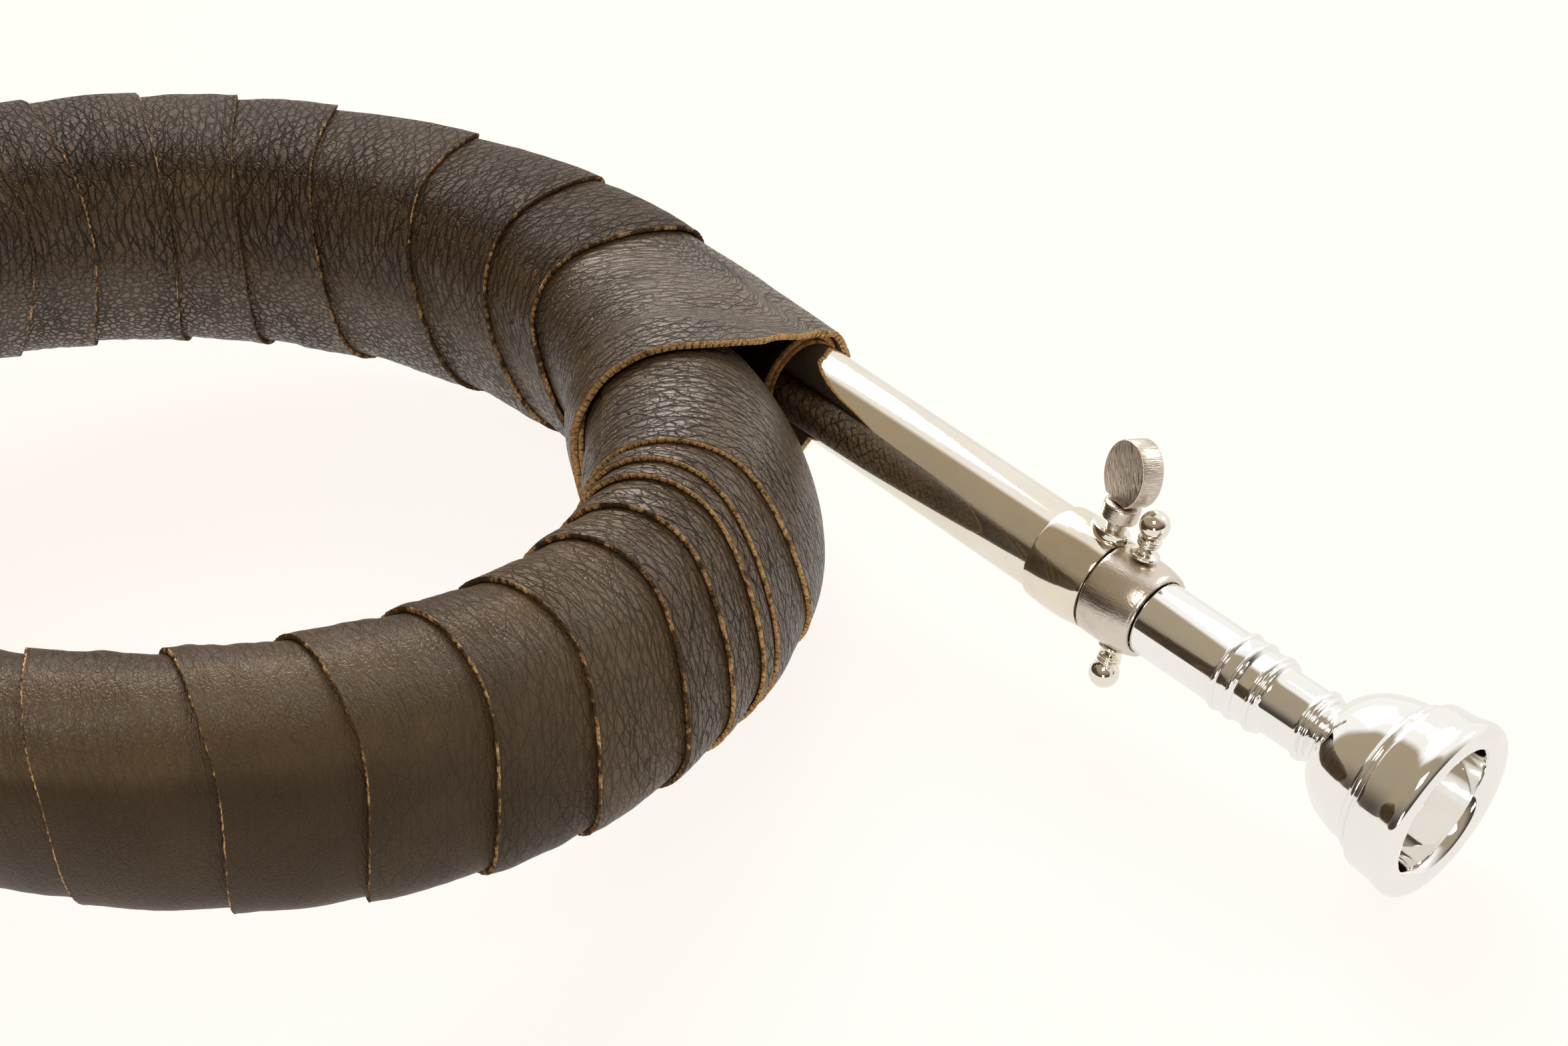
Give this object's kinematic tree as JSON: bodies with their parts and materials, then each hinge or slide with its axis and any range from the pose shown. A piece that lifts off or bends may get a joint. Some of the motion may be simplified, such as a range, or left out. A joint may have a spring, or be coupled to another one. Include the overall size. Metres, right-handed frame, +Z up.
{
  "type": "hunting horn",
  "caption": "Small circular hunting horn wound in leather strips, with a flared bell, a tuning slide locked by a thumb screw, and a cup mouthpiece.",
  "frame": {"origin": "centre of the bounding box, on the floor that the horn rests on", "axes": "+Z up from the floor, -X the way the bell opens seen from above, -Y towards the mouthpiece"},
  "size_m": [0.2994, 0.2838, 0.1172],
  "materials": {
    "leather": "dark brown grained leather, half matt",
    "nickel_silver": "polished nickel silver with a warm tint",
    "satin_nickel_silver": "satin nickel silver with fine scratches",
    "silver_plate": "mirror bright silver plate",
    "brass": "polished yellow brass"
  },
  "bodies": {
    "horn": {"first_coil_tube": "brass", "second_coil_tube": "brass", "third_coil_tube": "brass", "first_coil_ferrule": "nickel_silver", "second_coil_ferrule": "nickel_silver", "left_coil_brace": "brass", "near_coil_brace": "brass", "right_coil_brace": "brass", "bell_flare": "brass", "bell_ferrule": "nickel_silver", "bell_garland": "nickel_silver", "bell_rim_wire": "nickel_silver", "mouthpipe_outer_tube": "nickel_silver", "lock_ferrule": "nickel_silver", "thumb_screw_boss": "nickel_silver", "mouthpipe_leather_collar": "leather", "near_leather_strip": "leather", "far_leather_strip": "leather"},
    "slide": {"tuning_slide_tube": "nickel_silver", "slide_collar": "satin_nickel_silver", "upper_finger_post": "nickel_silver", "lower_finger_post": "nickel_silver"},
    "mouthpiece": {"mouthpiece": "silver_plate"},
    "thumb_screw": {"thumb_screw_stem": "satin_nickel_silver", "thumb_screw_head": "satin_nickel_silver"}
  },
  "joints": [
    {"name": "tuning_slide", "type": "slide", "parent": "horn", "child": "slide", "axis": [0.1218, -0.9863, -0.1116], "range_m": [0, 0.025]},
    {"name": "mouthpiece_pull", "type": "slide", "parent": "slide", "child": "mouthpiece", "axis": [0.1218, -0.9863, -0.1116], "range_m": [0, 0.03]},
    {"name": "thumb_screw_turn", "type": "hinge", "parent": "horn", "child": "thumb_screw", "pos_m": [0.12958, -0.08097, 0.01952], "axis": [0.3034, -0.0701, 0.9503], "range_deg": [0, 270]}
  ]
}
